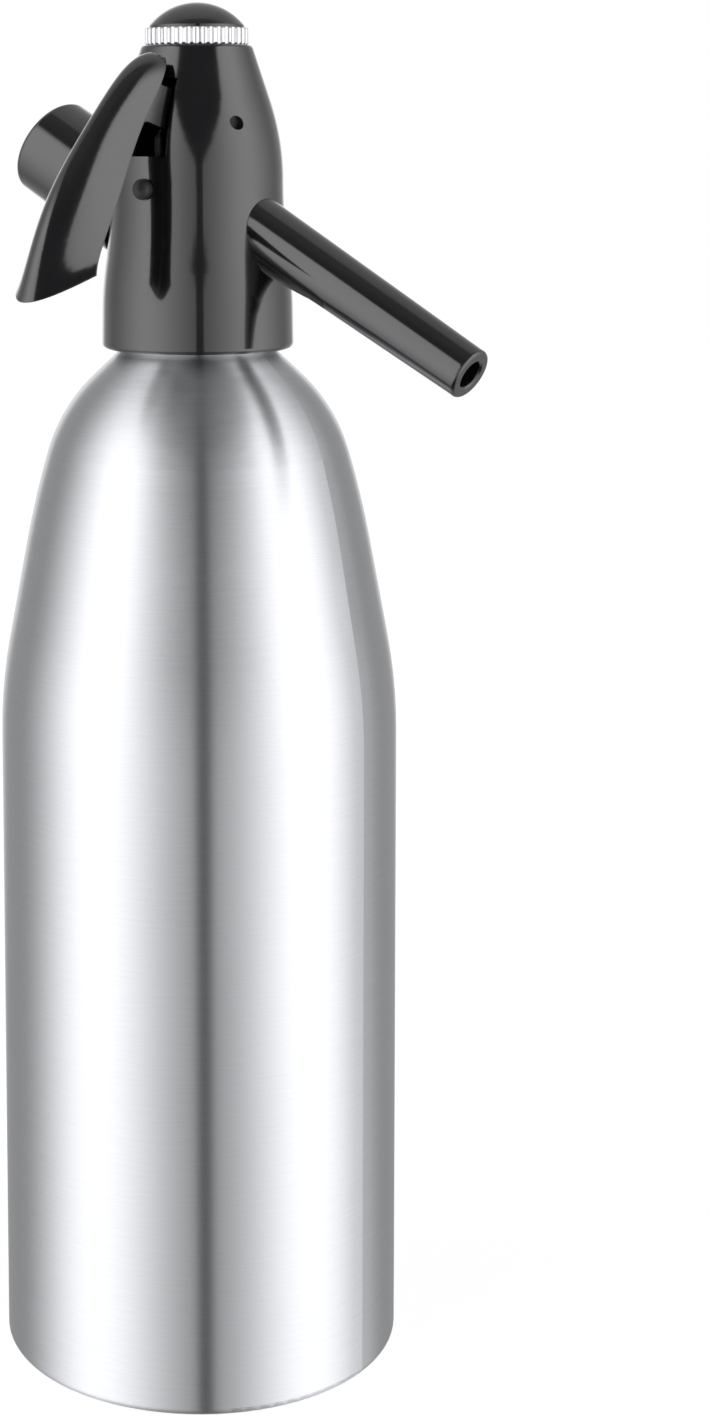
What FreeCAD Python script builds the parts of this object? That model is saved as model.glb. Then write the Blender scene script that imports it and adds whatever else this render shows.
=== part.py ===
import FreeCAD, Part
import math
import os
import re
from types import SimpleNamespace

# Soda siphon: an aluminium bottle with a screwed head. Millimetres, +Z up.
# The origin is the centre of the bottle's base. The nozzle points to +X, the capped gas port
# to -X, and the squeeze lever hangs on the -Y side.

Vector = FreeCAD.Vector
doc = FreeCAD.newDocument("SodaSiphon")
sheet = doc.addObject("Spreadsheet::Sheet", "Sizes")

SIZES = {
    "bottle_radius": 46.0, "bottle_wall": 1.5, "base_fillet": 1.8, "base_rim_radius": 37.0,
    "base_dome_rise": 8.0, "side_top": 144.7, "bend_radius": 120.5, "bend_turn": 10.6,
    "cone_length": 23.2, "gentle_radius": 208.0, "gentle_turn": 5.8, "shoulder_radius": 39.5,
    "shoulder_turn": 30.1, "neck_fillet": 2.5, "neck_radius": 18.0, "neck_bore": 14.6,
    "mouth_level": 251.0, "mouth_chamfer": 0.5, "thread_depth": 0.8, "thread_pitch": 3.0,
    "thread_turns": 3.0, "thread_start": 239.5, "thread_relief_level": 237.0,
    "collar_seat_depth": 1.3, "collar_seat_wall": 1.4, "neck_clearance": 0.35,
    "seat_clearance": 0.1, "slip_clearance": 0.05, "moulding_gap": 0.3,

    "riser_radius": 4.0, "riser_bore": 2.8, "riser_foot_gap": 5.0, "riser_top": 259.0,
    "measuring_radius": 6.2, "measuring_wall": 0.8, "measuring_foot": 186.0, "hub_radius": 7.6,
    "hub_foot": 243.0, "hub_spigot_length": 5.0, "pour_hole_radius": 1.9, "pour_hole_circle": 11.3,
    "pour_hole_count": 6,

    "head_skirt_radius": 22.1, "head_skirt_gap": 17.1, "head_foot_fillet": 1.2,
    "head_skirt_lean": 1.0, "head_skirt_length": 8.0, "head_flare_radius": 80.0,
    "head_flare_turn": 6.5, "head_flare_length": 3.0, "head_waist_radius": 130.0,
    "head_bell_radius": 58.0, "head_bell_turn": 18.4, "head_cone_length": 12.5,
    "head_top_fillet": 1.0, "gasket_thickness": 2.0, "gasket_bore": 13.0, "gasket_edge_gap": 0.15,

    "valve_flange_radius": 10.6, "valve_flange_height": 1.8, "valve_body_radius": 7.0,
    "valve_seat_height": 13.0, "valve_seat_radius": 3.4, "valve_seat_lip": 0.6,
    "valve_port_radius": 2.3, "oring_wire": 0.65, "riser_oring_height": 4.0, "chamber_radius": 6.0,
    "chamber_height": 9.4, "guide_height": 2.1, "seal_radius": 4.2, "seal_thickness": 1.6,
    "seal_holder_height": 1.6, "seal_pin_radius": 1.2, "stem_radius": 2.0,
    "stem_collar_radius": 4.3, "stem_collar_height": 1.5, "stem_top_gap": 3.2,

    "pivot_offset": 7.4, "pivot_level": 285.3, "pivot_pin_radius": 1.5, "pivot_pin_recess": 0.8,
    "pivot_boss_radius": 3.0, "nose_radius": 1.5, "nose_gap": 0.1, "fork_gap": 0.4,
    "slot_width": 10.6, "slot_foot_gap": 7.4, "slot_rise": 10.0, "web_width": 8.4,
    "lever_wall": 1.8, "lever_rib_width": 2.0, "lever_top_reach": 15.8, "lever_top_level": 299.6,
    "lever_bow_reach": 36.5, "lever_bow_level": 275.5, "lever_foot_reach": 48.8,
    "lever_foot_level": 253.1, "lever_top_half_width": 4.7, "lever_foot_half_width": 10.0,
    "lever_top_depth": 3.6, "lever_foot_depth": 7.8, "lever_belly": 4.0, "lever_foot_slant": 10.5,
    "lever_tip_narrowing": 1.5, "web_low_reach": 16.0, "web_low_rise": 3.3,
    "web_low_bend_reach": 10.0, "web_low_bend_rise": 1.6, "web_top_reach": 12.6,
    "web_top_drop": 1.0, "web_top_bend_reach": 10.0, "web_top_bend_drop": 1.9,
    "web_neck_reach": 4.0, "web_neck_drop": 2.8, "rib_top_reach": 14.0, "rib_top_rise": 4.0,
    "rib_foot_reach": 19.4, "rib_foot_drop": 8.4, "spring_chamber_radius": 5.8,
    "spring_radius": 3.5, "spring_wire": 0.8, "spring_turns": 6, "stop_radius": 2.3,
    "stop_height": 3.0, "stop_level": 270.6, "stop_shank_length": 3.0, "stop_shank_radius": 1.4,
    "stop_sink": 0.4, "stop_dome_rise": 1.4,

    "ring_radius": 11.85, "ring_height": 3.8, "ring_wall": 0.95, "ring_floor": 1.4,
    "ring_skirt_radius": 8.4, "ring_skirt_length": 5.8, "ring_bore": 6.5, "knurl_count": 40,
    "knurl_radius": 0.9, "knurl_depth": 0.35, "dome_sphere": 13.8, "dome_height": 5.9,
    "dome_plug_length": 3.0, "dome_guide_depth": 6.0,

    "nozzle_droop": 28.6, "nozzle_axis_level": 271.2, "nozzle_reach": 83.0,
    "nozzle_root_radius": 7.15, "nozzle_tip_radius": 5.85, "nozzle_bore": 3.2,
    "nozzle_tip_fillet": 0.8, "nozzle_spigot_radius": 5.0, "nozzle_spigot_start": 15.0,
    "lobe_radius": 5.9, "lobe_drop": 3.4, "lobe_end": 43.0, "lobe_end_drop": 0.6,
    "outlet_bore": 3.0, "nozzle_mouth_chamfer": 0.4,

    "port_rise": 29.0, "port_axis_level": 256.0, "boss_radius": 12.3, "boss_face": 29.5,
    "boss_start": 18.29, "cap_radius": 11.8, "cap_end": 49.9, "cap_wall": 2.0, "cap_end_wall": 2.2,
    "cap_edge_fillet": 1.5, "cap_washer_thickness": 1.2, "stub_radius": 9.4,
    "stub_root_radius": 7.0, "stub_root_start": 19.5, "charger_bore": 4.75,
    "charger_bore_depth": 11.0, "charger_seal_thickness": 2.0, "charger_seal_bore": 1.7,
    "pin_radius": 1.3, "pin_flange_radius": 3.4, "pin_flange_height": 1.2, "pin_tail": 2.0,
    "pin_point": 4.0, "pin_gas_bore": 0.5, "check_chamber_radius": 2.4, "check_ball_radius": 1.9,
    "check_spring_wire": 0.4, "check_spring_turns": 4, "check_seat_bore": 1.1,
    "retainer_length": 1.6, "gas_hole_radius": 0.9, "gas_hole_offset": 12.0,

    "relief_level": 262.0, "relief_seat": 13.0, "relief_bore": 3.4, "relief_poppet_radius": 2.7,
    "relief_poppet_height": 1.2, "relief_spring_radius": 1.9, "relief_spring_wire": 0.4,
    "relief_spring_turns": 2, "relief_plug_length": 2.4, "relief_plug_recess": 0.6,
    "relief_vent_radius": 0.8,
}

for row, (alias, value) in enumerate(SIZES.items(), start=1):
    sheet.set(f"A{row}", alias)
    sheet.set(f"B{row}", str(value))
    sheet.setAlias(f"B{row}", alias)
doc.recompute()
s = SimpleNamespace(**{alias: float(sheet.get(alias)) for alias in SIZES})


# Levels and places that several pieces share

skirt_foot = s.mouth_level - s.head_skirt_gap
ceiling = s.mouth_level + s.gasket_thickness + s.slip_clearance
thread_root = s.neck_radius - s.thread_depth - 0.5 * s.slip_clearance
head_bore = s.neck_radius + s.neck_clearance
seat_level = ceiling + s.valve_seat_height - s.valve_flange_height
lip_level = seat_level + s.valve_seat_lip
chamber_top = seat_level + s.chamber_height
slot_foot = s.pivot_level - s.slot_foot_gap
slot_top = s.pivot_level + s.slot_rise
nose_top = s.pivot_level + s.nose_radius
collar_foot = nose_top + s.nose_gap
collar_top = collar_foot + s.stem_collar_height


def formula(text):
    """Turn size names into references to the sheet."""
    return re.sub(r"[a-z_]{3,}", lambda word: "Sizes." + word.group(0), text)


def bind(item, **formulas):
    """Bind properties of an object to formulas on the sheet."""
    for name, text in formulas.items():
        item.setExpression(name, formula(text))
    return item


def rod(name, radius, height, place):
    """A cylinder with its size bound to the sheet, standing at a placement."""
    item = doc.addObject("Part::Cylinder", name)
    item.Placement = place
    return bind(item, Radius=radius, Height=height)


def cone(name, foot_radius, top_radius, height, place):
    """A cone frustum with its size bound to the sheet, standing at a placement."""
    item = doc.addObject("Part::Cone", name)
    item.Placement = place
    return bind(item, Radius1=foot_radius, Radius2=top_radius, Height=height)


def block(name, low, high):
    """A box between two corners."""
    item = doc.addObject("Part::Box", name)
    item.Placement.Base = Vector(*low)
    item.Length, item.Width, item.Height = (high[k] - low[k] for k in range(3))
    return item


def solid(name, shape, place=FreeCAD.Placement()):
    """A feature that holds a shape of its own."""
    item = doc.addObject("Part::Feature", name)
    item.Shape = shape
    item.Placement = place
    return item


def fuse(name, items):
    """Join items into one solid."""
    item = doc.addObject("Part::MultiFuse", name)
    item.Shapes = items
    item.Refine = False
    return item


def cut(name, base, tools):
    """Take tools away from a base, one after the other."""
    for k, tool in enumerate(tools, start=1):
        item = doc.addObject("Part::Cut", name if k == len(tools) else f"{name}_cut_{k}")
        item.Base = base
        item.Tool = tool
        item.Refine = False
        base = item
    return base


def upright(level, x=0.0, y=0.0):
    """A placement at a level, with its Z along the bottle's axis."""
    return FreeCAD.Placement(Vector(x, y, level), FreeCAD.Rotation())


def slanted(origin_level, tilt, distance):
    """A placement whose Z runs along a line in the XZ plane, at a distance along it."""
    turn = FreeCAD.Rotation(Vector(0, 1, 0), tilt)
    return FreeCAD.Placement(Vector(0, 0, origin_level) + turn.multVec(Vector(0, 0, distance)), turn)


def on_nozzle(distance):
    return slanted(s.nozzle_axis_level, 90 + s.nozzle_droop, distance)


def on_port(distance):
    return slanted(s.port_axis_level, s.port_rise - 90, distance)


def on_relief(distance):
    turn = FreeCAD.Rotation(Vector(1, 0, 0), -90)
    return FreeCAD.Placement(Vector(0, distance, s.relief_level), turn)


def arc(start, middle, end):
    return Part.Arc(*(Vector(x, y, 0) for x, y in (start, middle, end)))


def line(start, end):
    return Part.LineSegment(Vector(*start, 0), Vector(*end, 0))


def polygon(points):
    """The closed run of lines through (radius, level) points."""
    return [line(a, b) for a, b in zip(points, points[1:] + points[:1])]


def revolved(name, outline, place=FreeCAD.Placement()):
    """A body turned about Z from a closed outline of (radius, level)."""
    body = doc.addObject("PartDesign::Body", name)
    sketch = body.newObject("Sketcher::SketchObject", name + "_outline")
    plane = next(item for item in body.Origin.OriginFeatures if item.Role == "XZ_Plane")
    sketch.AttachmentSupport = [(plane, "")]
    sketch.MapMode = "FlatFace"
    sketch.addGeometry(outline, False)
    turned = body.newObject("PartDesign::Revolution", name + "_turned")
    turned.Profile = sketch
    turned.ReferenceAxis = (sketch, ["V_Axis"])
    turned.Angle = 360
    body.Tip = turned
    body.Placement = place
    return body


def dome_over(edge, top, rise):
    """The arc of a dome from its edge up to the axis, where it lies flat."""
    sphere = (edge ** 2 + rise ** 2) / (2 * rise)
    half = math.asin(edge / sphere) / 2
    middle = (sphere * math.sin(half), top - sphere + sphere * math.cos(half))
    return arc((edge, top - rise), middle, (0, top))


def tangent_run(start, lean, segments, inset=0.0):
    """Outline pieces that run on smoothly: lines ("line", length) and arcs (radius, turn).

    lean is the angle from straight up, towards the axis, in degrees; a positive turn leans
    further in. inset moves the whole run inward by a wall. The run and its end are returned.
    """
    radius, level = start
    angle = math.radians(lean)
    pieces = []

    def moved(r, z, a):
        return (r - inset * math.cos(a), z - inset * math.sin(a))

    for kind, amount in segments:
        first = moved(radius, level, angle)
        if kind == "line":
            radius -= amount * math.sin(angle)
            level += amount * math.cos(angle)
            pieces.append(line(first, moved(radius, level, angle)))
            continue
        bend = math.copysign(kind, amount)
        turned = angle + math.radians(amount)
        halfway = (angle + turned) / 2

        def along(a):
            return (radius - bend * (math.cos(angle) - math.cos(a)),
                    level + bend * (math.sin(a) - math.sin(angle)))

        middle, end = along(halfway), along(turned)
        pieces.append(arc(first, moved(*middle, halfway), moved(*end, turned)))
        (radius, level), angle = end, turned
    return pieces, (radius, level), angle


def rounded(corner, radius, before, after):
    """An arc of a radius at a corner, between the directions towards two points."""
    c, a, b = (Vector(*p, 0) for p in (corner, before, after))
    u, v = (a - c).normalize(), (b - c).normalize()
    half = u.getAngle(v) / 2
    reach = radius / math.tan(half)
    centre = c + (u + v).normalize() * (radius / math.sin(half))
    p, q = c + u * reach, c + v * reach
    middle = centre + (c - centre).normalize() * radius
    return (p.x, p.y), (middle.x, middle.y), (q.x, q.y)


def tangent_arc(start, direction, end):
    """The arc that leaves start in a direction and ends at end."""
    span = end - start
    normal = direction.cross(span).cross(direction).normalize()
    bend = span.dot(span) / (2 * span.dot(normal))
    centre = start + normal * bend
    middle = ((start - centre).normalize() + (end - centre).normalize()).normalize() * bend
    return Part.Arc(start, centre + middle, end)


def coil(name, radius, wire, turns, low, high, place):
    """A spring: one tube along biarcs of a quarter turn each, between two heights."""
    quarter_turn = math.pi / 2
    step = (high - low) / (4 * turns)
    slope = step / quarter_turn
    edges = []
    for quarter in range(4 * turns):
        ends, headings = [], []
        for k in (quarter, quarter + 1):
            a = quarter_turn * k
            ends.append(Vector(radius * math.cos(a), radius * math.sin(a), low + step * k))
            headings.append(Vector(-radius * math.sin(a), radius * math.cos(a), slope).normalize())
        (a, b), (leaving, arriving) = ends, headings
        # Both arms are as long as half the gap between their ends.
        chord, sway = b - a, leaving + arriving
        lean = chord.dot(sway)
        square = sway.dot(sway) - 4
        arm = (lean - math.sqrt(lean ** 2 - square * chord.dot(chord))) / square
        joint = (a + leaving * arm + b - arriving * arm) * 0.5
        back = tangent_arc(b, arriving * -1, joint).toShape()
        bow = back.valueAt((back.FirstParameter + back.LastParameter) / 2)
        edges += [tangent_arc(a, leaving, joint).toShape(), Part.Arc(joint, bow, b).toShape()]
    path = Part.Wire(edges)
    section = Part.Wire(Part.makeCircle(wire / 2, edges[0].valueAt(edges[0].FirstParameter),
                                        edges[0].tangentAt(edges[0].FirstParameter)))
    sweep = Part.BRepOffsetAPI.MakePipeShell(path)
    sweep.add(section)
    sweep.build()
    sweep.makeSolid()
    expected = math.pi * (wire / 2) ** 2 * path.Length
    print(name, "gap between turns", round(4 * step - wire, 2),
          "volume ratio", round(abs(sweep.shape().Volume) / expected, 4))
    return solid(name, sweep.shape(), place)


# Bottle: drawn aluminium, with a raised base, a sloping shoulder and a screwed neck

def shoulder_run(last, inset=0.0):
    """The side and shoulder, ended by a straight slope of a length and what follows it."""
    run = [(s.bend_radius, s.bend_turn), ("line", s.cone_length),
           (s.gentle_radius, s.gentle_turn), (s.shoulder_radius, s.shoulder_turn)]
    return tangent_run((s.bottle_radius, s.side_top), 0, run + last, inset)


def base_dome(sphere, low):
    """The raised middle of the base as an arc from its rim up to the axis."""
    centre = s.base_dome_rise - base_sphere
    rim = math.sqrt(sphere ** 2 - (low - centre) ** 2)
    half = math.asin(rim / sphere) / 2
    middle = (sphere * math.sin(half), centre + sphere * math.cos(half))
    return rim, arc((rim, low), middle, (0, centre + sphere))


_, (slope_radius, slope_level), slope_lean = shoulder_run([])
fillet_radius = s.neck_radius + s.neck_fillet * (1 - math.cos(slope_lean))
outer_slope = (slope_radius - fillet_radius) / math.sin(slope_lean)
outside, (_, neck_foot), _ = shoulder_run(
    [("line", outer_slope), (s.neck_fillet, -math.degrees(slope_lean))])
inner_radius = slope_radius - s.bottle_wall * math.cos(slope_lean)
inner_slope = (inner_radius - s.neck_bore) / math.sin(slope_lean)
inside, _, _ = shoulder_run([("line", inner_slope)], s.bottle_wall)
bore_foot = (slope_level - s.bottle_wall * math.sin(slope_lean)
             + inner_slope * math.cos(slope_lean))

base_sphere = (s.base_rim_radius ** 2 + s.base_dome_rise ** 2) / (2 * s.base_dome_rise)
outer_rim, outer_dome = base_dome(base_sphere, 0)
inner_rim, inner_dome = base_dome(base_sphere + s.bottle_wall, s.bottle_wall)
foot_round = rounded((s.bottle_radius, 0), s.base_fillet,
                     (0, 0), (s.bottle_radius, s.side_top))
side_inside = s.bottle_radius - s.bottle_wall
collar_seat = thread_root - s.collar_seat_wall
seat_foot = s.mouth_level - s.collar_seat_depth
neck = [(s.neck_radius, neck_foot), (s.neck_radius, s.thread_relief_level),
        (thread_root, s.thread_relief_level), (thread_root, s.mouth_level - s.mouth_chamfer),
        (thread_root - s.mouth_chamfer, s.mouth_level), (collar_seat, s.mouth_level),
        (collar_seat, seat_foot), (s.neck_bore, seat_foot), (s.neck_bore, bore_foot)]
bottle_outline = (
    [outer_dome, line((outer_rim, 0), foot_round[0]), arc(*foot_round),
     line(foot_round[2], (s.bottle_radius, s.side_top))]
    + outside + [line(a, b) for a, b in zip(neck, neck[1:])] + inside
    + [line((side_inside, s.side_top), (side_inside, s.bottle_wall)),
       line((side_inside, s.bottle_wall), (inner_rim, s.bottle_wall)), inner_dome,
       line((0, s.base_dome_rise + s.bottle_wall), (0, s.base_dome_rise))])

ridge = Part.makePolygon([Vector(thread_root + out, 0, s.thread_start + up) for out, up in (
    (-0.1, -0.9), (s.thread_depth, -0.35), (s.thread_depth, 0.35), (-0.1, 0.9), (-0.1, -0.9))])
helix = Part.makeHelix(s.thread_pitch, s.thread_pitch * s.thread_turns, thread_root)
helix.translate(Vector(0, 0, s.thread_start))
thread = Part.Wire(helix).makePipeShell([ridge], True, True)
bottle = fuse("bottle", [revolved("bottle_shell", bottle_outline), solid("neck_thread", thread)])


# Tube set: the riser tube and the shorter level tube hang from a collar in the bottle's mouth

collar_bore = s.riser_radius + s.slip_clearance
spigot = s.measuring_radius - s.measuring_wall - s.slip_clearance
flange_edge = collar_seat - s.seat_clearance
collar_head = revolved("tube_collar_blank", polygon([
    (collar_bore, s.hub_foot - s.hub_spigot_length), (spigot, s.hub_foot - s.hub_spigot_length),
    (spigot, s.hub_foot), (s.hub_radius, s.hub_foot), (s.hub_radius, seat_foot),
    (flange_edge, seat_foot), (flange_edge, s.mouth_level - s.slip_clearance),
    (collar_bore, s.mouth_level - s.slip_clearance)]))
pour_holes = [
    rod(f"pour_hole_{k + 1}", "pour_hole_radius", "2 * collar_seat_depth",
        upright(s.mouth_level - 1.5 * s.collar_seat_depth,
                s.pour_hole_circle * math.cos(2 * math.pi * (k + 0.5) / s.pour_hole_count),
                s.pour_hole_circle * math.sin(2 * math.pi * (k + 0.5) / s.pour_hole_count)))
    for k in range(int(s.pour_hole_count))]
tube_collar = cut("tube_collar", collar_head, pour_holes)

riser_foot = s.base_dome_rise + s.bottle_wall + s.riser_foot_gap
riser_height = f"riser_top - {riser_foot}"
riser_tube = cut("riser_tube", rod("riser_rod", "riser_radius", riser_height, upright(riser_foot)),
                 [rod("riser_hole", "riser_bore", riser_height, upright(riser_foot))])
level_height = "hub_foot - measuring_foot - slip_clearance"
measuring_tube = cut(
    "measuring_tube",
    rod("measuring_rod", "measuring_radius", level_height, upright(s.measuring_foot)),
    [rod("measuring_hole", "measuring_radius - measuring_wall", level_height,
         upright(s.measuring_foot))])


# Head housing: a moulded bell with a boss for the gas port and a slot for the lever

# The bell's seam is turned away from the planes of the nozzle, the port and the lever.
seam_aside = FreeCAD.Placement(Vector(0, 0, 0), FreeCAD.Rotation(Vector(0, 0, 1), 40))


def bell_run(inset=0.0, upto=None):
    run = [("line", s.head_skirt_length), (s.head_flare_radius, s.head_flare_turn),
           ("line", s.head_flare_length),
           (s.head_waist_radius, -s.head_skirt_lean - s.head_flare_turn),
           (s.head_bell_radius, s.head_bell_turn), ("line", s.head_cone_length),
           (s.head_top_fillet, 90 - s.head_bell_turn)][:upto]
    start = (s.head_skirt_radius, skirt_foot + s.head_foot_fillet)
    return tangent_run(start, s.head_skirt_lean, run, inset)


def bell(name, inset=0.0):
    """The whole outside of the head as a solid, grown outward by a negative inset."""
    pieces, (top_radius, top_level), _ = bell_run(inset)
    lean = math.radians(s.head_skirt_lean)
    side = (s.head_skirt_radius - inset * math.cos(lean),
            skirt_foot + s.head_foot_fillet - inset * math.sin(lean))
    foot = skirt_foot + inset
    low = (side[0] - s.head_foot_fillet, foot)
    middle = (side[0] - s.head_foot_fillet * (1 - math.sqrt(0.5)),
              side[1] - (side[1] - foot) * math.sqrt(0.5))
    top = top_level - inset
    outline = pieces + [arc(low, middle, side), line((0, foot), low),
                        line((top_radius, top), (0, top)), line((0, top), (0, foot))]
    return revolved(name, outline, seam_aside)


_, (waist_radius, waist_level), _ = bell_run(upto=4)
_, (_, head_top), _ = bell_run()


def bell_radius(level):
    """The head's radius at a level between its waist and its cone."""
    rise = level - waist_level
    return waist_radius - s.head_bell_radius + math.sqrt(s.head_bell_radius ** 2 - rise ** 2)


ring_socket = s.ring_skirt_radius + s.slip_clearance
ring_socket_foot = head_top - s.ring_skirt_length - 2 * s.slip_clearance
stem_hole = s.stem_radius + s.seat_clearance
oring_pocket = s.stem_radius + 2 * s.oring_wire + s.seat_clearance
oring_top = chamber_top + 2 * s.oring_wire + s.seat_clearance
flange_top = ceiling + s.valve_flange_height
flange_socket = s.valve_flange_radius + s.slip_clearance
body_socket = s.valve_body_radius + s.slip_clearance
bell_cavity = revolved("bell_cavity", polygon([
    (0, skirt_foot - 1), (head_bore, skirt_foot - 1), (head_bore, ceiling),
    (flange_socket, ceiling), (flange_socket, flange_top), (body_socket, flange_top),
    (body_socket, seat_level), (s.chamber_radius, seat_level), (s.chamber_radius, chamber_top),
    (oring_pocket, chamber_top), (oring_pocket, oring_top), (stem_hole, oring_top),
    (stem_hole, slot_foot), (s.spring_chamber_radius, slot_foot),
    (s.spring_chamber_radius, ring_socket_foot), (ring_socket, ring_socket_foot),
    (ring_socket, head_top + 1), (0, head_top + 1)]), seam_aside)

port_lean = math.radians(s.port_rise)
gallery_start = s.gas_hole_offset / math.cos(port_lean)
gas_hole_top = s.port_axis_level + s.gas_hole_offset * math.tan(port_lean)
pin_reach = bell_radius(s.pivot_level)
across = FreeCAD.Rotation(Vector(0, 1, 0), 90)
stop_turn = FreeCAD.Rotation(Vector(1, 0, 0), 90)
stop_face = bell_radius(s.stop_level) - s.stop_sink
stop_place = FreeCAD.Placement(Vector(0, -stop_face, s.stop_level), stop_turn)
shank_place = FreeCAD.Placement(
    Vector(0, s.stop_shank_length - stop_face, s.stop_level), stop_turn)
head_solid = fuse("head_solid", [
    bell("bell"),
    rod("port_boss", "boss_radius", "boss_face - boss_start", on_port(s.boss_start))])
head_housing = cut("head_housing", head_solid, [
    bell_cavity,
    block("lever_slot", (-s.slot_width / 2, -2 * s.neck_radius, slot_foot),
          (s.slot_width / 2, 0, slot_top)),
    rod("outlet_passage", "outlet_bore", "nozzle_spigot_start - chamber_radius + 1",
        on_nozzle(s.chamber_radius - 1)),
    rod("nozzle_socket", "nozzle_spigot_radius + slip_clearance", "head_skirt_radius",
        on_nozzle(s.nozzle_spigot_start - s.slip_clearance)),
    rod("port_socket", "stub_root_radius + slip_clearance", "boss_face",
        on_port(s.stub_root_start - s.slip_clearance)),
    rod("gas_gallery", "gas_hole_radius", f"stub_root_start - {gallery_start}",
        on_port(gallery_start)),
    rod("gas_hole", "gas_hole_radius", f"{gas_hole_top - ceiling} + gasket_thickness",
        upright(ceiling - s.gasket_thickness, -s.gas_hole_offset)),
    rod("relief_hole", "gas_hole_radius", f"{s.relief_level - ceiling} + gasket_thickness",
        upright(ceiling - s.gasket_thickness, 0, s.gas_hole_offset)),
    rod("relief_gallery", "gas_hole_radius", "relief_seat - gas_hole_offset + gas_hole_radius",
        on_relief(s.gas_hole_offset - s.gas_hole_radius)),
    rod("relief_socket", "relief_bore", "head_skirt_radius", on_relief(s.relief_seat)),
    rod("pivot_hole", "pivot_pin_radius + slip_clearance", "2 * head_skirt_radius",
        FreeCAD.Placement(Vector(-s.head_skirt_radius, -s.pivot_offset, s.pivot_level), across)),
    rod("stop_seat", "stop_radius + seat_clearance", "head_skirt_radius", stop_place),
    rod("stop_hole", "stop_shank_radius + slip_clearance", "head_skirt_radius", shank_place)])

gasket_rod = rod("gasket_disc", f"{head_bore} - gasket_edge_gap", "gasket_thickness",
                 upright(s.mouth_level + s.slip_clearance))
head_gasket = cut("head_gasket", gasket_rod, [
    rod("gasket_hole", "gasket_bore", "gasket_thickness",
        upright(s.mouth_level + s.slip_clearance))])


# Dispensing valve: a brass seat that holds the riser, and the stem that the lever lifts

riser_socket = s.riser_radius + s.seat_clearance
groove_radius = s.riser_radius + 2 * s.oring_wire + s.seat_clearance
groove_foot = ceiling + s.riser_oring_height
groove_top = groove_foot + 2 * s.oring_wire + s.seat_clearance
valve_body = revolved("valve_body", polygon([
    (s.valve_flange_radius, ceiling), (s.valve_flange_radius, flange_top - s.slip_clearance),
    (s.valve_body_radius, flange_top - s.slip_clearance),
    (s.valve_body_radius, seat_level), (s.valve_seat_radius, seat_level),
    (s.valve_seat_radius, lip_level), (s.valve_port_radius, lip_level),
    (s.valve_port_radius, s.riser_top + s.seat_clearance),
    (riser_socket, s.riser_top + s.seat_clearance), (riser_socket, groove_top),
    (groove_radius, groove_top), (groove_radius, groove_foot), (riser_socket, groove_foot),
    (riser_socket, ceiling)]))


def oring(name, radius, level):
    item = doc.addObject("Part::Torus", name)
    item.Placement = upright(level)
    return bind(item, Radius1=f"{radius} + oring_wire + 0.4 * slip_clearance", Radius2="oring_wire")


riser_oring = oring("riser_oring", "riser_radius", (groove_foot + groove_top) / 2)
stem_oring = oring("stem_oring", "stem_radius", (chamber_top + oring_top) / 2)

seal_foot = lip_level + s.slip_clearance
seal_top = seal_foot + s.seal_thickness
ring_foot = head_top + s.slip_clearance
ring_floor = ring_foot + s.ring_floor
plug_foot = ring_floor - s.dome_plug_length
stem_top = plug_foot + s.dome_guide_depth - s.stem_top_gap
valve_stem = revolved("valve_stem", polygon([
    (0, seal_foot), (s.seal_pin_radius, seal_foot), (s.seal_pin_radius, seal_top),
    (s.seal_radius, seal_top), (s.seal_radius, seal_top + s.seal_holder_height),
    (s.stem_radius, seal_top + s.seal_holder_height), (s.stem_radius, stem_top), (0, stem_top)]))
valve_seal = cut("valve_seal", rod("seal_disc", "seal_radius", "seal_thickness",
                                   upright(seal_foot)),
                 [rod("seal_hole", "seal_pin_radius + slip_clearance", "seal_thickness",
                      upright(seal_foot))])
stem_collar = cut(
    "stem_collar",
    rod("collar_disc", "stem_collar_radius", "stem_collar_height", upright(collar_foot)),
    [rod("collar_hole", "stem_radius + slip_clearance", "stem_collar_height",
         upright(collar_foot))])
guide_foot = chamber_top - s.guide_height - s.slip_clearance
stem_guide = cut(
    "stem_guide",
    rod("guide_disc", "chamber_radius - slip_clearance", "guide_height", upright(guide_foot)),
    [rod("guide_hole", "stem_radius + seat_clearance", "guide_height", upright(guide_foot))])
valve_spring = coil("valve_spring", s.spring_radius, s.spring_wire, int(s.spring_turns),
                    collar_top + s.spring_wire / 2 + s.slip_clearance,
                    plug_foot - s.spring_wire / 2 - s.slip_clearance, upright(0))


# Cap: a knurled ring screwed into the top of the head, with a domed insert over the spring

ring_top = ring_foot + s.ring_height
dome_seat = s.ring_radius - s.ring_wall
ring_blank = revolved("ring_blank", polygon([
    (s.ring_bore, ring_foot - s.ring_skirt_length),
    (s.ring_skirt_radius, ring_foot - s.ring_skirt_length), (s.ring_skirt_radius, ring_foot),
    (s.ring_radius - s.knurl_depth, ring_foot), (s.ring_radius, ring_foot + s.knurl_depth),
    (s.ring_radius, ring_top - s.knurl_depth), (s.ring_radius - s.knurl_depth, ring_top),
    (dome_seat, ring_top), (dome_seat, ring_floor), (s.ring_bore, ring_floor)]))
flute_circle = s.ring_radius + s.knurl_radius - s.knurl_depth
flutes = Part.makeCompound([
    Part.makeCylinder(s.knurl_radius, s.ring_height + 1,
                      Vector(flute_circle * math.cos(2 * math.pi * k / s.knurl_count),
                             flute_circle * math.sin(2 * math.pi * k / s.knurl_count),
                             ring_foot - 0.5))
    for k in range(int(s.knurl_count))])
knurled_ring = cut("knurled_ring", ring_blank, [solid("ring_flutes", flutes)])

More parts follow.
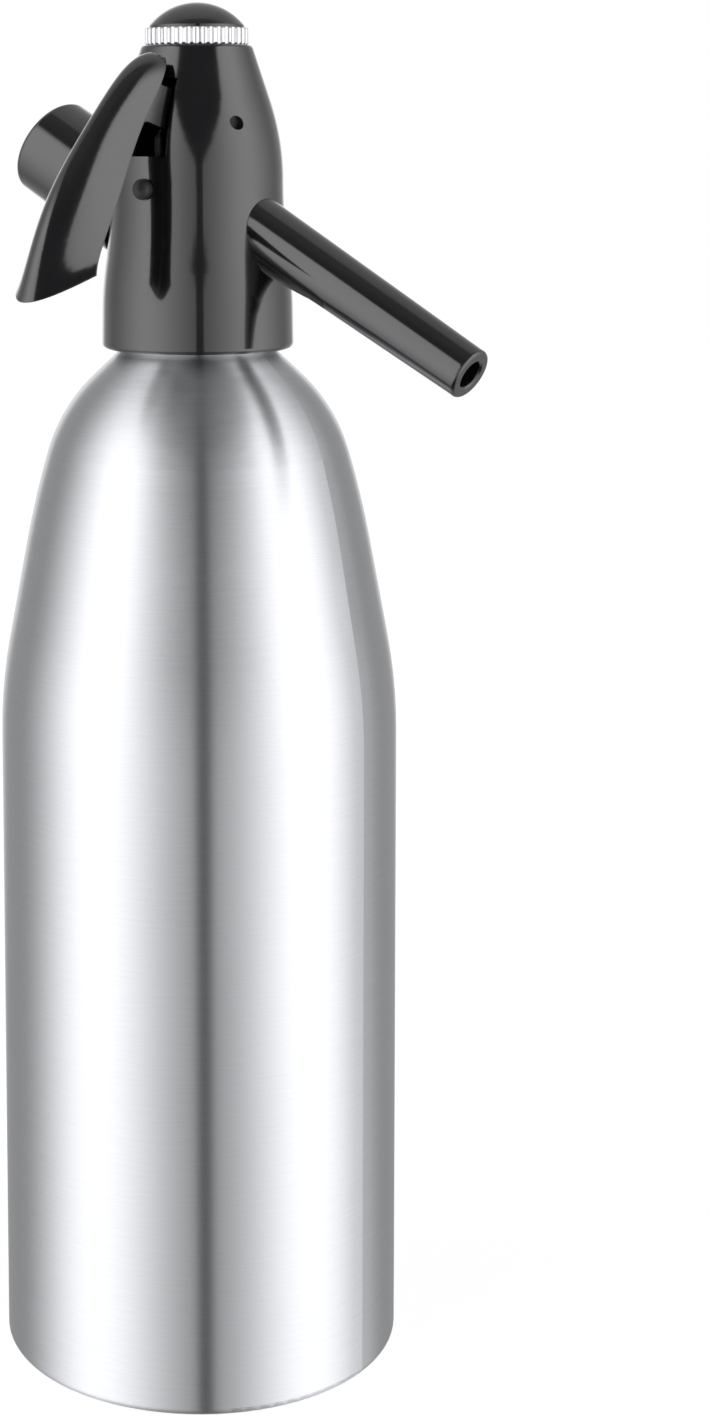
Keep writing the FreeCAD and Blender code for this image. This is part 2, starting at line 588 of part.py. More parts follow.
dome_edge = dome_seat - s.slip_clearance
dome_top = ring_top + s.dome_height
dome_rise = s.dome_sphere - math.sqrt(s.dome_sphere ** 2 - dome_edge ** 2)
dome_shoulder = dome_top - dome_rise
plug_radius = s.ring_bore - s.slip_clearance
guide_bore = s.stem_radius + s.seat_clearance
dome_low = ring_floor + s.slip_clearance
dome_points = [(0, dome_top), (0, plug_foot + s.dome_guide_depth),
               (guide_bore, plug_foot + s.dome_guide_depth), (guide_bore, plug_foot),
               (plug_radius, plug_foot), (plug_radius, dome_low), (dome_edge, dome_low),
               (dome_edge, dome_shoulder)]
dome_cap = revolved("dome_cap", [line(a, b) for a, b in zip(dome_points, dome_points[1:])]
                    + [dome_over(dome_edge, dome_top, dome_rise)])


# Lever: a keel-shaped moulded shell whose web reaches through the slot to fork the stem

def lever_station(share):
    """Rim point, outward and downward directions, half width and depth at a share of length."""
    top = Vector(0, -s.lever_top_reach, s.lever_top_level)
    bow = Vector(0, -s.lever_bow_reach, s.lever_bow_level)
    foot = Vector(0, -s.lever_foot_reach, s.lever_foot_level)
    rim = top * (1 - share) ** 2 + bow * 2 * share * (1 - share) + foot * share ** 2
    down = ((bow - top) * (1 - share) + (foot - bow) * share).normalize()
    outward = Vector(0, down.z, -down.y)
    half = s.lever_top_half_width + (s.lever_foot_half_width - s.lever_top_half_width) * share
    depth = (s.lever_top_depth + (s.lever_foot_depth - s.lever_top_depth) * share
             + 4 * s.lever_belly * share * (1 - share))
    if share == 0:
        half, depth = half - s.lever_tip_narrowing, depth - s.lever_tip_narrowing
    return rim, outward, down, half, depth


def lever_section(share, wall, shift):
    """A closed parabola from rim to rim over the ridge, inset by a wall."""
    rim, outward, down, half, depth = lever_station(share)
    slant = down * (s.lever_foot_slant * share)
    open_side = outward * (-2 * wall) + down * shift
    side = Vector(half - wall, 0, 0)
    peak = rim + outward * (depth - wall) + slant + down * shift
    start = rim + open_side
    crest = peak * 2 - start
    curve = Part.BezierCurve()
    curve.setPoles([start - side, crest, start + side])
    return Part.Wire([curve.toShape(), Part.makeLine(start + side, start - side)])


def web_edge(share, half_width):
    """A point halfway through the shell's flank, at a distance from the middle."""
    rim, outward, down, half, depth = lever_station(share)
    reach = depth * (1 - (half_width / half) ** 2) - s.lever_wall / 2
    point = rim + outward * reach
    return point.y, point.z


def plate(name, points, width):
    """A plate across the middle plane with an outline of (y, level) points."""
    corners = [Vector(-width / 2, y, z) for y, z in points]
    face = Part.Face(Part.makePolygon(corners + corners[:1]))
    return solid(name, face.extrude(Vector(width, 0, 0)))


lever_shares = [0, 0.06, 0.25, 0.5, 0.75, 1]
shell_outside = Part.makeLoft([lever_section(k, 0, 0) for k in lever_shares], True)
hollow_shares = [0.06, 0.25, 0.5, 0.75, 1]
shell_inside = Part.makeLoft(
    [lever_section(k, s.lever_wall, -s.lever_wall * (2 * k - 0.6)) for k in hollow_shares], True)
pivot_y = -s.pivot_offset
boss_foot = s.pivot_level - s.pivot_boss_radius
web_half = s.web_width / 2
web = plate("lever_web", [
    (pivot_y, boss_foot),
    (pivot_y - s.web_low_bend_reach, boss_foot + s.web_low_bend_rise),
    (pivot_y - s.web_low_reach, boss_foot + s.web_low_rise),
    web_edge(0.36, web_half), web_edge(0.24, web_half), web_edge(0.12, web_half),
    (pivot_y - s.web_top_reach, slot_top - s.web_top_drop),
    (pivot_y - s.web_top_bend_reach, slot_top - s.web_top_bend_drop),
    (pivot_y - s.web_neck_reach, slot_top - s.web_neck_drop),
    (pivot_y, boss_foot + 2 * s.pivot_boss_radius)], s.web_width)
rib = plate("lever_rib", [
    (pivot_y - s.rib_top_reach, boss_foot + s.rib_top_rise),
    (pivot_y - s.rib_foot_reach, s.pivot_level - s.rib_foot_drop),
    web_edge(0.5, 0), web_edge(0.3, 0)], s.lever_rib_width)
fork_half = s.stem_radius + s.fork_gap
fork_foot = s.pivot_level - s.nose_radius
fork = block("lever_fork", (-web_half, pivot_y, fork_foot), (web_half, 0, nose_top))
fork_place = FreeCAD.Placement(Vector(-web_half, 0, s.pivot_level), across)
boss_place = FreeCAD.Placement(Vector(-web_half, pivot_y, s.pivot_level), across)
lever_solid = fuse("lever_solid", [
    cut("lever_shell", solid("lever_outside", shell_outside), [solid("lever_inside", shell_inside)]),
    web, rib, fork,
    rod("fork_nose", "nose_radius", "web_width", fork_place),
    rod("pivot_boss", "pivot_boss_radius", "web_width", boss_place)])
lever = cut("lever", lever_solid, [
    block("fork_opening", (-fork_half, -s.stem_collar_radius, fork_foot - 1),
          (fork_half, s.stem_collar_radius, nose_top + 1)),
    rod("lever_bore", "pivot_pin_radius + seat_clearance", "web_width", boss_place)])

pin_half = math.sqrt(pin_reach ** 2 - s.pivot_offset ** 2) - s.pivot_pin_recess
lever_pivot_pin = rod(
    "lever_pivot_pin", "pivot_pin_radius", f"2 * {pin_half}",
    FreeCAD.Placement(Vector(-pin_half, pivot_y, s.pivot_level), across))
stop_shank = s.slip_clearance - s.stop_shank_length
stop_button = revolved("lever_stop_button", [
    line((0, stop_shank), (s.stop_shank_radius, stop_shank)),
    line((s.stop_shank_radius, stop_shank), (s.stop_shank_radius, s.slip_clearance)),
    line((s.stop_shank_radius, s.slip_clearance), (s.stop_radius, s.slip_clearance)),
    line((s.stop_radius, s.slip_clearance), (s.stop_radius, s.stop_height - s.stop_dome_rise)),
    dome_over(s.stop_radius, s.stop_height, s.stop_dome_rise),
    line((0, s.stop_height), (0, stop_shank))], stop_place)


# Nozzle: a tapered moulded spout with a second, lower lobe at its root

tip_rounding = rounded(
    (s.nozzle_tip_radius, s.nozzle_reach), s.nozzle_tip_fillet,
    (s.nozzle_root_radius, s.nozzle_spigot_start), (0, s.nozzle_reach))
spout = revolved("spout", [
    line((0, s.nozzle_spigot_start), (s.nozzle_root_radius, s.nozzle_spigot_start)),
    line((s.nozzle_root_radius, s.nozzle_spigot_start), tip_rounding[0]), arc(*tip_rounding),
    line(tip_rounding[2], (0, s.nozzle_reach)),
    line((0, s.nozzle_reach), (0, s.nozzle_spigot_start))], on_nozzle(0).multiply(seam_aside))
lobe_rings = [Part.Wire(Part.makeCircle(s.lobe_radius, Vector(drop, 0, distance)))
              for drop, distance in ((s.lobe_drop, s.nozzle_spigot_start),
                                     (s.lobe_end_drop, s.lobe_end))]
lobe = solid("lobe", Part.makeLoft(lobe_rings, True, True), on_nozzle(0))
outside_parts = [cut(part.Label + "_outside", part,
                     [bell(part.Label + "_bell", -s.slip_clearance)]) for part in (spout, lobe)]
nozzle = cut("nozzle", fuse("nozzle_solid", outside_parts + [
    rod("nozzle_spigot", "nozzle_spigot_radius", "head_skirt_radius - nozzle_spigot_start + 4",
        on_nozzle(s.nozzle_spigot_start))]), [
    rod("nozzle_hole", "nozzle_bore", "nozzle_reach", on_nozzle(s.nozzle_spigot_start - 1)),
    cone("nozzle_mouth", "nozzle_bore", "nozzle_bore + 2 * nozzle_mouth_chamfer",
         "2 * nozzle_mouth_chamfer", on_nozzle(s.nozzle_reach - s.nozzle_mouth_chamfer))])


# Gas port: a brass connector with piercing pin and check valve, under a screwed cap

cap_floor = s.cap_end - s.cap_end_wall
washer_foot = cap_floor - s.slip_clearance - s.cap_washer_thickness
stub_end = washer_foot - s.slip_clearance
stub_foot = s.boss_face + s.slip_clearance
bore_floor = stub_end - s.charger_bore_depth - s.charger_seal_thickness
pin_socket = bore_floor - s.pin_flange_height - s.slip_clearance
tail_foot = pin_socket - s.pin_tail - s.slip_clearance
check_seat = tail_foot - s.pin_flange_height
gas_connector = revolved("gas_connector", polygon([
    (s.stub_root_radius, s.stub_root_start), (s.stub_root_radius, stub_foot),
    (s.stub_radius, stub_foot), (s.stub_radius, stub_end), (s.charger_bore, stub_end),
    (s.charger_bore, bore_floor), (s.pin_flange_radius + s.slip_clearance, bore_floor),
    (s.pin_flange_radius + s.slip_clearance, pin_socket),
    (s.pin_radius + s.slip_clearance, pin_socket), (s.pin_radius + s.slip_clearance, tail_foot),
    (s.check_seat_bore, tail_foot), (s.check_seat_bore, check_seat),
    (s.check_chamber_radius, check_seat), (s.check_chamber_radius, s.stub_root_start)]),
    on_port(0))
point_base = stub_end - s.charger_bore_depth + s.pin_point / 2
piercing_pin = revolved("piercing_pin", polygon([
    (s.pin_gas_bore, tail_foot + s.slip_clearance), (s.pin_radius, tail_foot + s.slip_clearance),
    (s.pin_radius, pin_socket + s.slip_clearance),
    (s.pin_flange_radius, pin_socket + s.slip_clearance), (s.pin_flange_radius, bore_floor),
    (s.pin_radius, bore_floor), (s.pin_radius, point_base),
    (s.pin_gas_bore + 0.15, point_base + s.pin_point / 2),
    (s.pin_gas_bore, point_base + s.pin_point / 2)]), on_port(0))
seal_place = on_port(bore_floor + s.slip_clearance)
charger_seal = cut(
    "charger_seal",
    rod("charger_seal_disc", "charger_bore - slip_clearance", "charger_seal_thickness",
        seal_place),
    [rod("charger_seal_hole", "charger_seal_bore", "charger_seal_thickness", seal_place)])
ball_centre = (check_seat - s.slip_clearance
               - math.sqrt(s.check_ball_radius ** 2 - s.check_seat_bore ** 2))
check_ball = doc.addObject("Part::Sphere", "check_ball")
check_ball.Placement = on_port(ball_centre)
bind(check_ball, Radius="check_ball_radius")
retainer_place = on_port(s.stub_root_start)
check_retainer = cut(
    "check_retainer",
    rod("retainer_disc", "check_chamber_radius - slip_clearance", "retainer_length",
        retainer_place),
    [rod("retainer_hole", "gas_hole_radius", "retainer_length", retainer_place)])
check_coil_radius = s.check_chamber_radius - s.check_spring_wire - 0.4
reach_to_ball = s.check_ball_radius + s.check_spring_wire / 2 + s.slip_clearance
check_spring = coil(
    "check_spring", check_coil_radius, s.check_spring_wire, int(s.check_spring_turns),
    s.stub_root_start + s.retainer_length + s.check_spring_wire / 2 + s.slip_clearance,
    ball_centre - math.sqrt(reach_to_ball ** 2 - check_coil_radius ** 2), on_port(0))

cap_foot = s.boss_face + s.moulding_gap
cap_bore = s.cap_radius - s.cap_wall
cap_rounding = rounded((s.cap_radius, s.cap_end), s.cap_edge_fillet,
                       (s.cap_radius, cap_foot), (0, s.cap_end))
port_cap = revolved("port_cap", [
    line((cap_bore, cap_foot), (s.cap_radius, cap_foot)),
    line((s.cap_radius, cap_foot), cap_rounding[0]), arc(*cap_rounding),
    line(cap_rounding[2], (0, s.cap_end)), line((0, s.cap_end), (0, cap_floor)),
    line((0, cap_floor), (cap_bore, cap_floor)), line((cap_bore, cap_floor), (cap_bore, cap_foot))],
    on_port(0))
port_cap_washer = rod("port_cap_washer", "stub_radius - slip_clearance", "cap_washer_thickness",
                      on_port(washer_foot))


# Relief valve: a sprung poppet behind a vented plug at the back of the head

relief_outside = s.relief_seat + s.relief_poppet_height + s.slip_clearance
plug_end = math.sqrt(bell_radius(waist_level) ** 2 - s.relief_bore ** 2) - s.relief_plug_recess
relief_plug_foot = plug_end - s.relief_plug_length
relief_poppet = rod("relief_poppet", "relief_poppet_radius", "relief_poppet_height",
                    on_relief(s.relief_seat + s.slip_clearance))
relief_spring = coil(
    "relief_spring", s.relief_spring_radius, s.relief_spring_wire, int(s.relief_spring_turns),
    relief_outside + s.relief_spring_wire / 2 + s.slip_clearance,
    relief_plug_foot - s.relief_spring_wire / 2 - s.slip_clearance, on_relief(0))
relief_plug = cut(
    "relief_plug",
    rod("relief_plug_disc", "relief_bore - slip_clearance", "relief_plug_length",
        on_relief(relief_plug_foot)),
    [rod("relief_vent", "relief_vent_radius", "relief_plug_length",
         on_relief(relief_plug_foot))])


pieces = [
    bottle, riser_tube, measuring_tube, tube_collar, head_housing, head_gasket, valve_body,
    riser_oring, stem_oring, valve_stem, valve_seal, stem_collar, stem_guide, valve_spring,
    knurled_ring, dome_cap, lever, lever_pivot_pin, stop_button, nozzle, gas_connector,
    piercing_pin, charger_seal, check_ball, check_retainer, check_spring, port_cap,
    port_cap_washer, relief_poppet, relief_spring, relief_plug]

doc.recompute()
for item in doc.Objects:
    if "Invalid" in item.State or "Error" in item.State:
        raise RuntimeError(f"{item.Label} failed: {item.State}")
os.makedirs("parts", exist_ok=True)
for piece in pieces:
    if piece.Shape.isNull() or not piece.Shape.isValid() or not piece.Shape.Solids:
        raise RuntimeError(f"{piece.Label} has no valid solid")
for piece in pieces:
    piece.Shape.exportStep(f"parts/{piece.Label}.step")
    print(piece.Label, len(piece.Shape.Solids), "solid", round(piece.Shape.Volume, 1))
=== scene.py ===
import math
import bpy
import numpy as np
from mathutils import Matrix, Vector

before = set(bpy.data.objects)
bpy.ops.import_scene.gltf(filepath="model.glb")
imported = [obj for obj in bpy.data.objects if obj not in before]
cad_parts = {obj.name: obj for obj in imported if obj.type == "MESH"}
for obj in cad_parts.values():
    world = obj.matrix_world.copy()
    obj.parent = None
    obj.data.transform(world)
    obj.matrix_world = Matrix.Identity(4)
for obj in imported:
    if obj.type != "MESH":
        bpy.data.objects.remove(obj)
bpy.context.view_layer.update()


# Bottle: drawn aluminium in one piece, with a raised base, a long shoulder and a screwed neck.
# It is spun and brushed on a lathe, so fine scratches run round it and stretch every
# reflection up and down.

class Signal:
    """One output of a shader tree. Sums, products and powers of it add Math nodes."""

    def __init__(self, finish, socket):
        self.finish = finish
        self.socket = socket

    def maths(self, operation, first, second):
        return self.finish.node("ShaderNodeMath", {"operation": operation},
                                {0: first, 1: second})[0]

    def __add__(self, other):
        return self.maths("ADD", self, other)

    def __sub__(self, other):
        return self.maths("SUBTRACT", self, other)

    def __rsub__(self, other):
        return self.maths("SUBTRACT", other, self)

    def __mul__(self, other):
        return self.maths("MULTIPLY", self, other)

    def __pow__(self, other):
        return self.maths("POWER", self, other)

    __radd__ = __add__
    __rmul__ = __mul__


class Outputs:
    """The outputs of a node that was just made, by number or by name."""

    def __init__(self, finish, node):
        self.finish = finish
        self.made = node

    def __getitem__(self, key):
        return Signal(self.finish, self.made.outputs[key])


class Finish:
    """A shader tree that is filled with node()."""

    def __init__(self, tree):
        self.tree = tree

    def clear(self):
        """Take out the nodes that a new tree starts with."""
        for item in list(self.tree.nodes):
            self.tree.nodes.remove(item)

    def node(self, kind, settings, inputs):
        """Add a node: its settings first, then the value or link of each of its sockets."""
        made = self.tree.nodes.new(kind)
        for name, value in settings.items():
            if name == "stops":
                ramp = made.color_ramp
                while len(ramp.elements) < len(value):
                    ramp.elements.new(1.0)
                for stop, (place, level) in zip(ramp.elements, value):
                    stop.position = place
                    stop.color = (level, level, level, 1)
            else:
                setattr(made, name, value)
        for key, value in inputs.items():
            if isinstance(value, Signal):
                self.tree.links.new(value.socket, made.inputs[key])
            else:
                made.inputs[key].default_value = value
        return Outputs(self, made)

    def noise(self, waves, detail=3.0, roughness=0.55):
        """Noise between 0 and 1, with its waves per metre along X, Y and Z."""
        place = self.node("ShaderNodeTexCoord", {}, {})["Object"]
        stretched = self.node("ShaderNodeVectorMath", {"operation": "MULTIPLY"},
                              {0: place, 1: waves})[0]
        return self.node("ShaderNodeTexNoise", {},
                         {"Vector": stretched, "Scale": 1.0, "Detail": detail,
                          "Roughness": roughness})[0]

    def ramp(self, value, stops):
        return self.node("ShaderNodeValToRGB", {"stops": stops}, {0: value})[0]

    def between(self, share, low, high):
        """A colour that runs from low to high with a share. Mix takes its colours at 6 and 7."""
        return self.node("ShaderNodeMix", {"data_type": "RGBA"},
                         {0: share, 6: (*low, 1), 7: (*high, 1)})[2]

    def relief(self, height, strength, distance, edge=0.0):
        """A bump from a height signal, over edges that are rounded off by a small radius."""
        inputs = {"Height": height, "Strength": strength, "Distance": distance}
        if edge:
            inputs["Normal"] = self.node("ShaderNodeBevel", {"samples": 4}, {"Radius": edge})[0]
        return self.node("ShaderNodeBump", {}, inputs)[0]


def surface(name, **sockets):
    """A material, the finish that its nodes are added to, and its Principled shader."""
    material = bpy.data.materials.new(name)
    material.use_nodes = True
    shader = material.node_tree.nodes["Principled BSDF"]
    for key, value in sockets.items():
        shader.inputs[key.replace("_", " ")].default_value = value
    return material, Finish(material.node_tree), shader


def feed(finish, shader, **signals):
    """Link signals to the sockets of the Principled shader."""
    for key, value in signals.items():
        finish.tree.links.new(value.socket, shader.inputs[key.replace("_", " ")])


def dress(material, *nodes):
    """Give CAD nodes a material."""
    for name in nodes:
        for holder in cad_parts[name].material_slots:
            holder.material = material


hairline_waves = (170, 170, 4200)
hairline_detail = 3.0
hairline_roughness = 0.7
hairline_share = 0.7
streak_waves = (60, 60, 1300)
cloud_waves = (25, 25, 12)
cloud_detail = 2.0
scratch_contrast = [(0.3, 0.0), (0.7, 1.0)]
aluminium_dull = (0.555, 0.565, 0.585)
aluminium_bright = (0.635, 0.645, 0.665)
aluminium_smoothest = 0.27
scratch_roughness = 0.12
cloud_roughness = 0.04
scratch_strength = 0.04
fine_relief = 0.0001
brushed_round = 0.25


def brushed_aluminium():
    """Turning the anisotropy by a quarter lays the scratches round the bottle's axis."""
    material, finish, shader = surface(
        "brushed_aluminium", Metallic=1.0, Anisotropic=1.0, Anisotropic_Rotation=brushed_round)
    hairlines = finish.noise(hairline_waves, hairline_detail, hairline_roughness)
    streaks = finish.noise(streak_waves)
    clouds = finish.noise(cloud_waves, cloud_detail)
    scratch = hairlines * hairline_share + streaks * (1 - hairline_share)
    feed(finish, shader,
         Base_Color=finish.between(finish.ramp(scratch, scratch_contrast),
                                   aluminium_dull, aluminium_bright),
         Roughness=scratch * scratch_roughness + clouds * cloud_roughness + aluminium_smoothest,
         Normal=finish.relief(scratch, scratch_strength, fine_relief))
    return material


dress(brushed_aluminium(), "bottle")


# Tube set: the riser, the level tube and the collar that holds them in the mouth. They are
# moulded in natural food plastic, a little milky, and so is the guide over the valve.

mottle_waves = (220, 220, 220)
milky_dull = (0.78, 0.78, 0.74)
milky_bright = (0.86, 0.86, 0.83)
milky_smoothest = 0.32
mottle_roughness = 0.15
mottle_strength = 0.1
pale_plastic_ior = 1.49


def pale_plastic():
    material, finish, shader = surface("pale_plastic", IOR=pale_plastic_ior)
    mottle = finish.noise(mottle_waves)
    feed(finish, shader,
         Base_Color=finish.between(mottle, milky_dull, milky_bright),
         Roughness=mottle * mottle_roughness + milky_smoothest,
         Normal=finish.relief(mottle, mottle_strength, fine_relief))
    return material


dress(pale_plastic(), "riser_tube", "measuring_tube", "tube_collar", "stem_guide")


# Head, lever, nozzle, dome and port cap: all moulded in one glossy black plastic, with a
# faint ripple from the mould and slightly rounded edges.

ripple_waves = (130, 130, 130)
moulded_grain_waves = (1900, 1900, 1900)
moulded_detail = 2.0
black_deep = (0.004, 0.004, 0.005)
black_pale = (0.008, 0.008, 0.0095)
black_smoothest = 0.10
moulded_roughness = 0.06
ripple_share = 0.85
moulded_strength = 0.05
moulded_relief = 0.0004
moulded_edge = 0.0004
black_plastic_ior = 1.45
skin_roughness = 0.05
skin_ior = 1.5


def black_plastic():
    material, finish, shader = surface(
        "black_plastic", IOR=black_plastic_ior, Coat_Weight=1.0,
        Coat_Roughness=skin_roughness, Coat_IOR=skin_ior)
    ripple = finish.noise(ripple_waves, moulded_detail)
    grain = finish.noise(moulded_grain_waves, moulded_detail)
    feed(finish, shader,
         Base_Color=finish.between(ripple, black_deep, black_pale),
         Roughness=grain * moulded_roughness + ripple * moulded_roughness + black_smoothest,
         Normal=finish.relief(ripple * ripple_share + grain * (1 - ripple_share),
                              moulded_strength, moulded_relief, moulded_edge))
    return material


dress(black_plastic(), "head_housing", "dome_cap", "lever", "nozzle", "port_cap")


# Knurled ring: turned in steel and chromed, with flutes round it for the fingers. It sits on
# the head's top and holds the dome cap.

haze_waves = (700, 700, 700)
chrome_dull = (0.56, 0.56, 0.58)
chrome_bright = (0.66, 0.66, 0.68)
chrome_smoothest = 0.16
haze_roughness = 0.12
haze_strength = 0.05
flute_edge = 0.0002


def bright_chrome():
    material, finish, shader = surface("bright_chrome", Metallic=1.0)
    haze = finish.noise(haze_waves)
    feed(finish, shader,
         Base_Color=finish.between(haze, chrome_dull, chrome_bright),
         Roughness=haze * haze_roughness + chrome_smoothest,
         Normal=finish.relief(haze, haze_strength, fine_relief, flute_edge))
    return material


dress(bright_chrome(), "knurled_ring")


# Seals and the stop button: dark moulded rubber with a fine matt grain. The button is pushed
# into the head's face, where the lever lands on it.

rubber_grain_waves = (1500, 1500, 1500)
rubber_grain_detail = 4.0
rubber_deep = (0.014, 0.014, 0.015)
rubber_pale = (0.028, 0.028, 0.030)
rubber_smoothest = 0.42
rubber_grain_roughness = 0.25
rubber_grain_strength = 0.25
rubber_ior = 1.5


def dark_rubber():
    material, finish, shader = surface("dark_rubber", IOR=rubber_ior)
    grain = finish.noise(rubber_grain_waves, rubber_grain_detail)
    feed(finish, shader,
         Base_Color=finish.between(grain, rubber_deep, rubber_pale),
         Roughness=grain * rubber_grain_roughness + rubber_smoothest,
         Normal=finish.relief(grain, rubber_grain_strength, fine_relief))
    return material


dress(dark_rubber(), "head_gasket", "riser_oring", "stem_oring", "valve_seal", "charger_seal",
      "port_cap_washer", "relief_poppet", "lever_stop_button")


# Valve seat, gas connector, stem collar, ball retainer and relief plug: turned in brass. The
# cutter leaves fine rings round them, and the brass has tarnished a little in patches.

cutter_ring_waves = (60, 60, 4200)
tarnish_waves = (160, 160, 160)
tarnish_detail = 4.0
brass_dark = (0.62, 0.44, 0.18)
brass_bright = (0.80, 0.62, 0.30)
brass_smoothest = 0.16
cutter_ring_roughness = 0.18
tarnish_roughness = 0.10
cutter_ring_strength = 0.12


def turned_brass():
    material, finish, shader = surface("turned_brass", Metallic=1.0)
    rings = finish.noise(cutter_ring_waves)
    tarnish = finish.noise(tarnish_waves, tarnish_detail)
    feed(finish, shader,
         Base_Color=finish.between(tarnish, brass_dark, brass_bright),
         Roughness=rings * cutter_ring_roughness + tarnish * tarnish_roughness + brass_smoothest,
         Normal=finish.relief(rings, cutter_ring_strength, fine_relief))
    return material


dress(turned_brass(), "valve_body", "stem_collar", "gas_connector", "check_retainer",
      "relief_plug")


# Pins, stem, ball and springs: bright drawn stainless steel. Drawing leaves faint streaks,
# which run up and down here.

drawing_waves = (2600, 2600, 90)
steel_dull = (0.54, 0.54, 0.56)
steel_bright = (0.70, 0.70, 0.72)
steel_smoothest = 0.18
drawing_roughness = 0.16
drawing_strength = 0.1


def drawn_steel():
    material, finish, shader = surface("drawn_steel", Metallic=1.0)
    streaks = finish.noise(drawing_waves)
    feed(finish, shader,
         Base_Color=finish.between(streaks, steel_dull, steel_bright),
         Roughness=streaks * drawing_roughness + steel_smoothest,
         Normal=finish.relief(streaks, drawing_strength, fine_relief))
    return material


dress(drawn_steel(), "valve_stem", "valve_spring", "piercing_pin", "check_ball",
      "check_spring", "relief_spring")


# Pivot pin: a steel pin blackened in an oil bath, pressed in below the head's surface. It
# carries the lever, and only its two ends show.

wear_waves = (900, 900, 900)
blackened_deep = (0.010, 0.010, 0.012)
blackened_worn = (0.030, 0.030, 0.034)
blackened_smoothest = 0.4
blackened_metallic = 0.6
wear_roughness = 0.2
wear_strength = 0.2


def blackened_steel():
    material, finish, shader = surface("blackened_steel", Metallic=blackened_metallic)
    wear = finish.noise(wear_waves)
    feed(finish, shader,
         Base_Color=finish.between(wear, blackened_deep, blackened_worn),
         Roughness=wear * wear_roughness + blackened_smoothest,
         Normal=finish.relief(wear, wear_strength, fine_relief))
    return material


dress(blackened_steel(), "lever_pivot_pin")


# Studio: two tall diffusers stand left and right of the camera with a dark gap between them,
# in a dim room with a lighter rear wall. All are painted in the world as a function of
# direction, and the camera itself sees a white backdrop.

# Directions, in degrees
camera_azimuth = 37.0
gap_azimuth = camera_azimuth + 2.5
gap_edge = (3.7, 5.2)
diffuser_rise = (0.0, 62.0)
diffuser_end = (66.0, 128.0)
diffuser_top = (1.0, 8.0)
diffuser_foot = (-60.0, -30.0)
diffuser_ceiling = (40.0, 60.0)
rear_wall_edge = (85.0, 125.0)
overhead_edge = (42.0, 75.0)
top_slope = 0.75

# Levels, where 1 is white
diffuser_level = 2.2
share_beside_gap = 0.36
room_level = 0.10
rear_level = 0.33
overhead_level = 0.12
backdrop_level = 1.0
backdrop_edge = (0.86, 0.97)


def across(azimuth):
    """The level direction at an azimuth, where 0 is towards -Y and 90 towards +X."""
    return Vector((math.sin(math.radians(azimuth)), -math.cos(math.radians(azimuth)), 0))


world = bpy.data.worlds.new("studio")
bpy.context.scene.world = world
world.use_nodes = True
sky = Finish(world.node_tree)
sky.clear()
heading = sky.node("ShaderNodeTexCoord", {}, {})["Generated"]


def along(direction):
    """How far the heading points along a direction, from -1 to 1."""
    return sky.node("ShaderNodeVectorMath", {"operation": "DOT_PRODUCT"},
                    {0: heading, 1: direction})["Value"]


def angle_of(rise, run):
    """The angle of a rise over a run, in degrees."""
    turn = sky.node("ShaderNodeMath", {"operation": "ARCTAN2"}, {0: rise, 1: run})[0]
    return turn * math.degrees(1)


def smooth_step(value, low, high):
    """0 below low, 1 above high, and a smooth rise between."""
    return sky.node("ShaderNodeMapRange", {"interpolation_type": "SMOOTHSTEP"},
                    {"Value": value, "From Min": low, "From Max": high})[0]


forward = along(across(gap_azimuth))
sideways = along(across(gap_azimuth + 90))
upward = along((0, 0, 1))
from_gap = sky.node("ShaderNodeMath", {"operation": "ABSOLUTE"},
                    {0: angle_of(sideways, forward)})[0]
elevation = angle_of(upward, (1 - upward * upward) ** 0.5)

beside_gap = smooth_step(from_gap, *gap_edge)
brighter_outwards = (smooth_step(from_gap, *diffuser_rise) * (1 - share_beside_gap)
                     + share_beside_gap)
before_end = 1 - smooth_step(from_gap, *diffuser_end)
below_top = 1 - smooth_step(elevation - from_gap * top_slope, *diffuser_top)
above_foot = smooth_step(elevation, *diffuser_foot)
below_ceiling = 1 - smooth_step(elevation, *diffuser_ceiling)
diffusers = beside_gap * brighter_outwards * before_end * below_top * above_foot * below_ceiling
backdrop = smooth_step(forward * -1.0, *backdrop_edge)
rear_wall = smooth_step(from_gap, *rear_wall_edge)
overhead = smooth_step(elevation, *overhead_edge)
lit_level = (diffusers * diffuser_level + backdrop * (backdrop_level - room_level - rear_level)
             + rear_wall * rear_level + room_level + overhead * overhead_level)
rays = sky.node("ShaderNodeLightPath", {}, {})
shown_level = sky.node("ShaderNodeMix", {"data_type": "FLOAT"},
                       {0: rays["Is Camera Ray"], 2: lit_level, 3: backdrop_level})[0]
glow = sky.node("ShaderNodeBackground", {}, {"Color": (1, 1, 1, 1), "Strength": shown_level})[0]
sky.node("ShaderNodeOutputWorld", {}, {"Surface": glow})


# Floor: a white sheet under the bottle, which catches the bottle's soft shadow. It glows a
# little for the camera, so that it ends in the white of the backdrop.

floor_half = 2.5
floor_white = 0.93
floor_glow = 1.2
floor_glow_share = 0.7


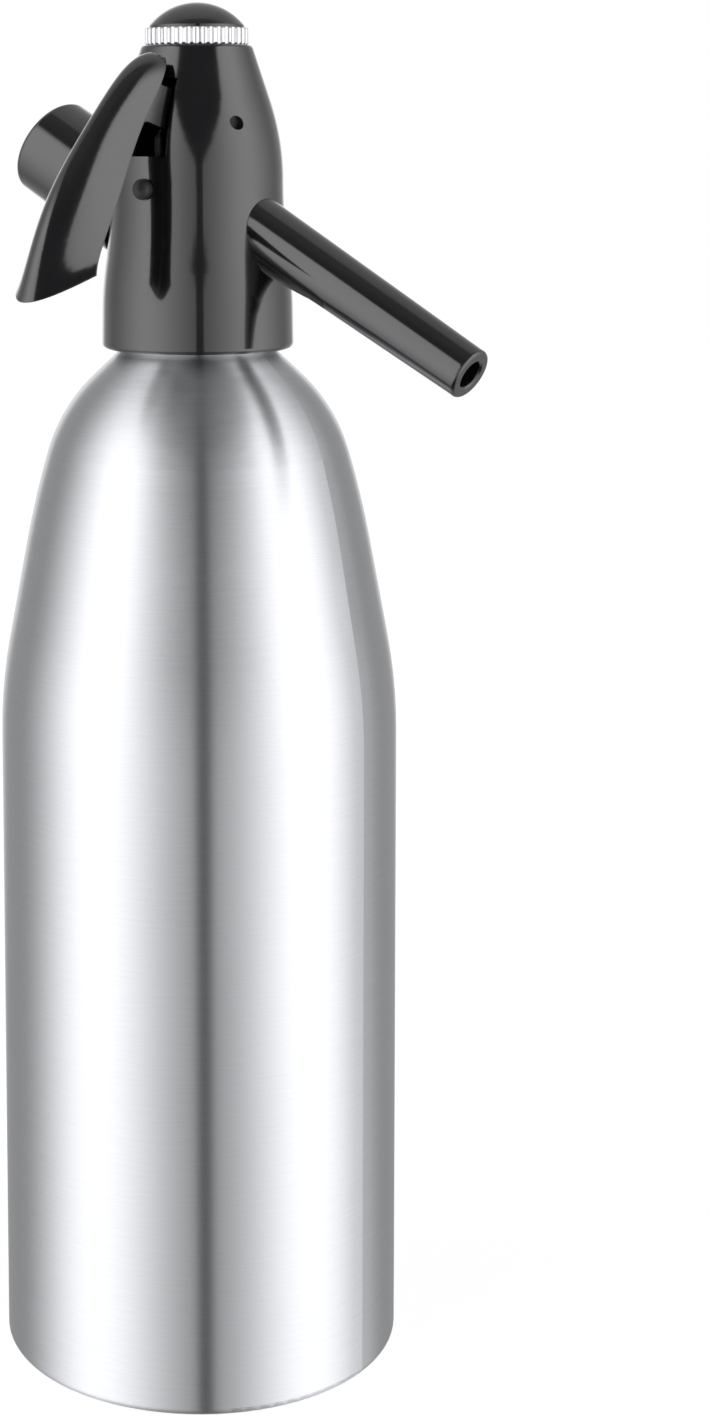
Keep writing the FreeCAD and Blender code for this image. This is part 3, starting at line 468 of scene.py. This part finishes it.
def flat_sheet(name, half, level):
    """A square grid of two points a side: x and y run from -half to half, z is the level."""
    u, v = np.meshgrid(np.linspace(-half, half, 2), np.linspace(-half, half, 2))
    points = np.stack([u, v, np.full_like(u, level)], axis=-1).reshape(-1, 3)
    mesh = bpy.data.meshes.new(name)
    mesh.from_pydata(points, [], [(0, 1, 3, 2)])
    return bpy.data.objects.new(name, mesh)


def white_floor():
    material = bpy.data.materials.new("white_floor")
    material.use_nodes = True
    finish = Finish(material.node_tree)
    finish.clear()
    matt = finish.node("ShaderNodeBsdfDiffuse", {},
                       {"Color": (floor_white, floor_white, floor_white, 1)})[0]
    lit = finish.node("ShaderNodeEmission", {}, {"Strength": floor_glow})[0]
    seen = finish.node("ShaderNodeLightPath", {}, {})["Is Camera Ray"]
    mixed = finish.node("ShaderNodeMixShader", {}, {0: seen * floor_glow_share, 1: matt, 2: lit})[0]
    finish.node("ShaderNodeOutputMaterial", {}, {"Surface": mixed})
    return material


floor = flat_sheet("floor", floor_half, 0.0)
bpy.context.scene.collection.objects.link(floor)
floor.data.materials.append(white_floor())
floor.visible_glossy = False


# Camera: level with the head, tipped down a little, and shifted to the photograph's frame.
# Its place was worked out from the bottle's outlines and the rings of the head.

camera_distance = 0.56649
camera_height = 0.28375
camera_pitch = math.radians(5.64)
camera_roll = -0.0036
focal_pixels = 2465.0
axis_pixel = (198.0, 373.35)
image_width, image_height = 710, 1418
sensor_width = 36.0
nearest_seen = 0.01

towards_camera = across(camera_azimuth)
facing = (-towards_camera * math.cos(camera_pitch)) - Vector((0, 0, math.sin(camera_pitch)))
camera_data = bpy.data.cameras.new("camera")
camera_data.sensor_fit = "AUTO"
camera_data.sensor_width = sensor_width
camera_data.lens = sensor_width * focal_pixels / image_height
camera_data.shift_x = (image_width / 2 - axis_pixel[0]) / image_height
camera_data.shift_y = (axis_pixel[1] - image_height / 2) / image_height
camera_data.clip_start = nearest_seen
camera = bpy.data.objects.new("camera", camera_data)
camera.location = towards_camera * camera_distance + Vector((0, 0, camera_height))
camera.rotation_mode = "QUATERNION"
camera.rotation_quaternion = (facing.to_track_quat("-Z", "Y")
                              @ Matrix.Rotation(camera_roll, 3, "Z").to_quaternion())
bpy.context.scene.collection.objects.link(camera)
bpy.context.scene.camera = camera
bpy.context.scene.view_settings.view_transform = "Standard"
